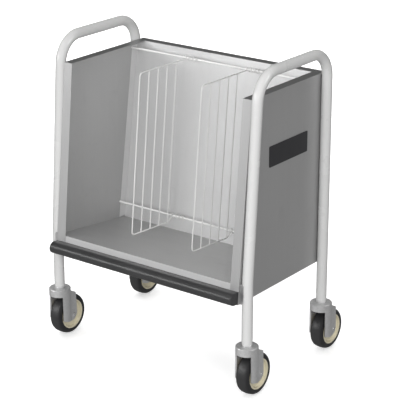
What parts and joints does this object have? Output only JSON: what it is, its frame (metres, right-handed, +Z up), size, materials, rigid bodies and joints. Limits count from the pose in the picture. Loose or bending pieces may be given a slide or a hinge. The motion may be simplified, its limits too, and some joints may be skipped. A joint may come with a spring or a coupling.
{
  "type": "plate dispenser cart",
  "caption": "Open-fronted sheet-metal bin with a sloping shelf, sliding wire dividers and a front bumper, carried between bent tube handles on swivel casters.",
  "frame": {"origin": "on the floor under the middle of the bounding box, all casters trailing to the back", "axes": "+Z up, +X to the right when facing the open front, +Y from the front to the back"},
  "size_m": [0.7774, 0.5434, 0.959],
  "materials": {
    "frame_coat": "gloss light grey coating on steel tube",
    "body_steel": "satin",
    "bumper_vinyl": "semi-gloss vinyl",
    "rail_aluminium": "mill",
    "fastener_zinc": "zinc plated",
    "wire_coat": "gloss light coating on steel wire",
    "plate_black": "satin",
    "socket_steel": "machined",
    "stem_steel": "zinc plated",
    "fork_steel": "zinc plated pressing",
    "bearing_steel": "greased",
    "axle_steel": "bright zinc",
    "hub_cream": "satin moulded",
    "bushing_plastic": "smooth",
    "tyre_black": "rubber"
  },
  "bodies": {
    "frame": {"left_frame_tube": "frame_coat", "right_frame_tube": "frame_coat", "left_side_panel": "body_steel", "right_side_panel": "body_steel", "back_panel": "body_steel", "shelf_pan": "body_steel", "shelf_stiffener": "body_steel", "front_bumper": "bumper_vinyl", "bumper_rail": "rail_aluminium", "bumper_end_caps": "bumper_vinyl", "bumper_bolts": "fastener_zinc", "top_guide_rod": "wire_coat", "lower_guide_rod": "wire_coat", "front_leg_brackets": "body_steel", "rear_leg_brackets": "body_steel", "blank_plate": "plate_black", "stem_sockets": "socket_steel", "caster_stem_front_left": "stem_steel", "caster_stem_front_right": "stem_steel", "caster_stem_rear_left": "stem_steel", "caster_stem_rear_right": "stem_steel"},
    "swivel_front_left": {"caster_fork_front_left": "fork_steel", "swivel_bearing_front_left": "bearing_steel", "axle_bolt_front_left": "axle_steel", "axle_nut_front_left": "axle_steel", "axle_sleeve_front_left": "axle_steel"},
    "wheel_front_left": {"wheel_hub_front_left": "hub_cream", "wheel_bushing_front_left": "bushing_plastic", "tyre_front_left": "tyre_black"},
    "swivel_front_right": {"caster_fork_front_right": "fork_steel", "swivel_bearing_front_right": "bearing_steel", "axle_bolt_front_right": "axle_steel", "axle_nut_front_right": "axle_steel", "axle_sleeve_front_right": "axle_steel"},
    "wheel_front_right": {"wheel_hub_front_right": "hub_cream", "wheel_bushing_front_right": "bushing_plastic", "tyre_front_right": "tyre_black"},
    "swivel_rear_left": {"caster_fork_rear_left": "fork_steel", "swivel_bearing_rear_left": "bearing_steel", "axle_bolt_rear_left": "axle_steel", "axle_nut_rear_left": "axle_steel", "axle_sleeve_rear_left": "axle_steel"},
    "wheel_rear_left": {"wheel_hub_rear_left": "hub_cream", "wheel_bushing_rear_left": "bushing_plastic", "tyre_rear_left": "tyre_black"},
    "swivel_rear_right": {"caster_fork_rear_right": "fork_steel", "swivel_bearing_rear_right": "bearing_steel", "axle_bolt_rear_right": "axle_steel", "axle_nut_rear_right": "axle_steel", "axle_sleeve_rear_right": "axle_steel"},
    "wheel_rear_right": {"wheel_hub_rear_right": "hub_cream", "wheel_bushing_rear_right": "bushing_plastic", "tyre_rear_right": "tyre_black"},
    "left_divider": {"left_divider_loop": "wire_coat", "left_divider_bars": "wire_coat"},
    "right_divider": {"right_divider_loop": "wire_coat", "right_divider_bars": "wire_coat"}
  },
  "joints": [
    {"name": "swivel_front_left_turn", "type": "hinge", "parent": "frame", "child": "swivel_front_left", "pos_m": [-0.35525, -0.2128, 0.15], "axis": [0, 0, 1], "continuous": true},
    {"name": "wheel_front_left_roll", "type": "hinge", "parent": "swivel_front_left", "child": "wheel_front_left", "pos_m": [-0.35525, -0.1808, 0.0635], "axis": [1, 0, 0], "continuous": true},
    {"name": "swivel_front_right_turn", "type": "hinge", "parent": "frame", "child": "swivel_front_right", "pos_m": [0.35525, -0.2128, 0.15], "axis": [0, 0, 1], "continuous": true},
    {"name": "wheel_front_right_roll", "type": "hinge", "parent": "swivel_front_right", "child": "wheel_front_right", "pos_m": [0.35525, -0.1808, 0.0635], "axis": [1, 0, 0], "continuous": true},
    {"name": "swivel_rear_left_turn", "type": "hinge", "parent": "frame", "child": "swivel_rear_left", "pos_m": [-0.35525, 0.1762, 0.15], "axis": [0, 0, 1], "continuous": true},
    {"name": "wheel_rear_left_roll", "type": "hinge", "parent": "swivel_rear_left", "child": "wheel_rear_left", "pos_m": [-0.35525, 0.2082, 0.0635], "axis": [1, 0, 0], "continuous": true},
    {"name": "swivel_rear_right_turn", "type": "hinge", "parent": "frame", "child": "swivel_rear_right", "pos_m": [0.35525, 0.1762, 0.15], "axis": [0, 0, 1], "continuous": true},
    {"name": "wheel_rear_right_roll", "type": "hinge", "parent": "swivel_rear_right", "child": "wheel_rear_right", "pos_m": [0.35525, 0.2082, 0.0635], "axis": [1, 0, 0], "continuous": true},
    {"name": "left_divider_slide", "type": "slide", "parent": "frame", "child": "left_divider", "axis": [1, 0, 0], "range_m": [-0.195, 0.08]},
    {"name": "right_divider_slide", "type": "slide", "parent": "frame", "child": "right_divider", "axis": [1, 0, 0], "range_m": [-0.08, 0.18]}
  ]
}
